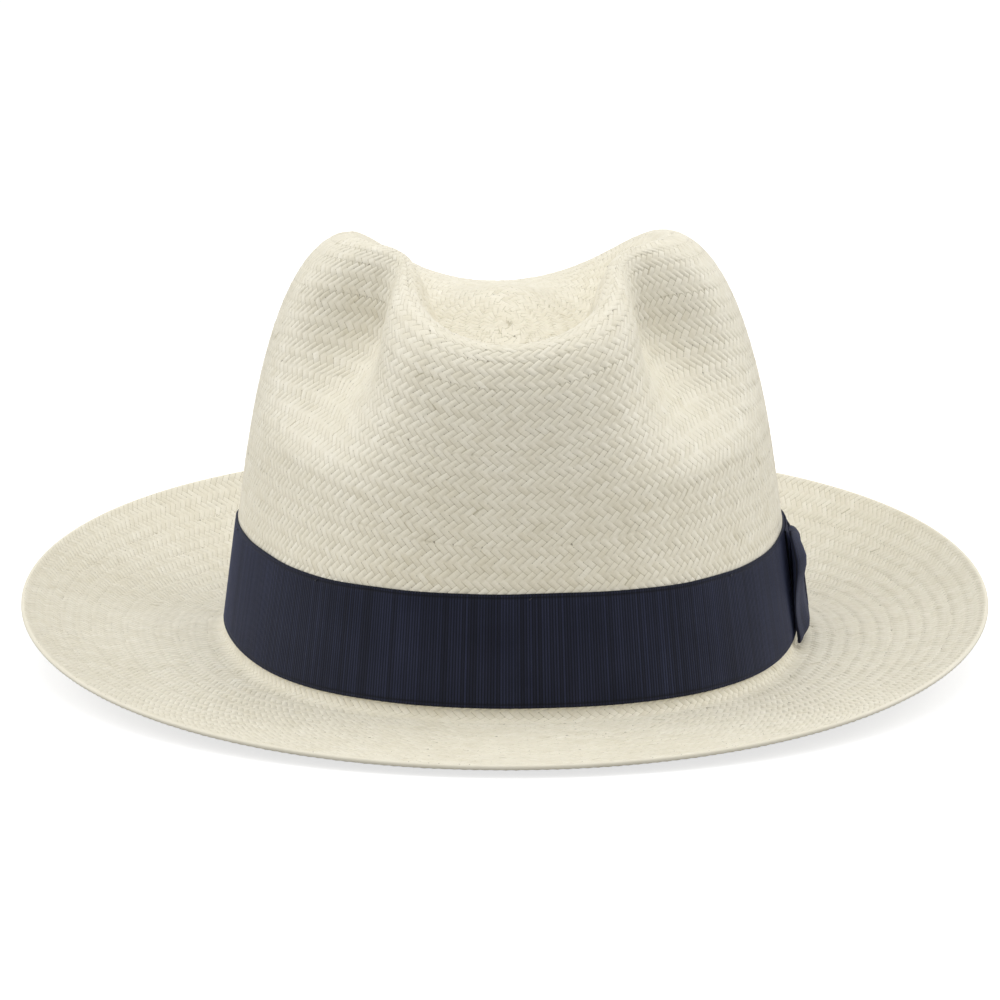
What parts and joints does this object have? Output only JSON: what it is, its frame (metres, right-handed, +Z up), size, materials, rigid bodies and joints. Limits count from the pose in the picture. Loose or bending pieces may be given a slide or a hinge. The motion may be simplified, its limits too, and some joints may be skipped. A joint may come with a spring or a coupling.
{
  "type": "fedora hat",
  "caption": "Woven straw fedora with a centre-dent crown, front pinches, turned-up brim, navy grosgrain ribbon with side bow and a leather sweatband.",
  "frame": {"origin": "centre of the head opening, at the height of the ribbon's lower edge in front", "axes": "-Y to the front of the hat, +X to the wearer's left (the bow's side), +Z up through the crown"},
  "size_m": [0.2858, 0.3237, 0.1237],
  "materials": {
    "straw": "off-white toquilla straw in a fine herringbone weave",
    "navy_ribbon": "navy ribbed grosgrain",
    "navy_thread": "navy sewing thread",
    "leather": "tan smooth leather",
    "reed_cord": "pale cord",
    "cream_tape": "cream cotton tape",
    "cream_thread": "cream sewing thread",
    "tag_cloth": "blank white woven tag"
  },
  "bodies": {
    "hat": {"woven_body": "straw", "hat_ribbon": "navy_ribbon", "bow_loops": "navy_ribbon", "bow_knot": "navy_ribbon", "bow_tail": "navy_ribbon", "ribbon_tacks": "navy_thread", "ribbon_join_stitches": "navy_thread", "bow_stitches": "navy_thread", "sweatband": "leather", "sweatband_reed": "reed_cord", "reed_tape": "cream_tape", "sweatband_stitching": "cream_thread", "attachment_stitching": "cream_thread", "back_seam_tape": "cream_tape", "back_seam_stitches": "cream_thread", "sweatband_bow_loops": "cream_tape", "sweatband_bow_knot": "cream_tape", "size_tag": "tag_cloth"},
    "snap_brim": {"front_brim": "straw"}
  },
  "joints": [
    {"name": "brim_snap", "type": "hinge", "parent": "hat", "child": "snap_brim", "pos_m": [0, -0.11, 0.002], "axis": [-1, 0, 0], "range_deg": [-12, 25], "stiffness_Nm_per_rad": 0.3}
  ]
}
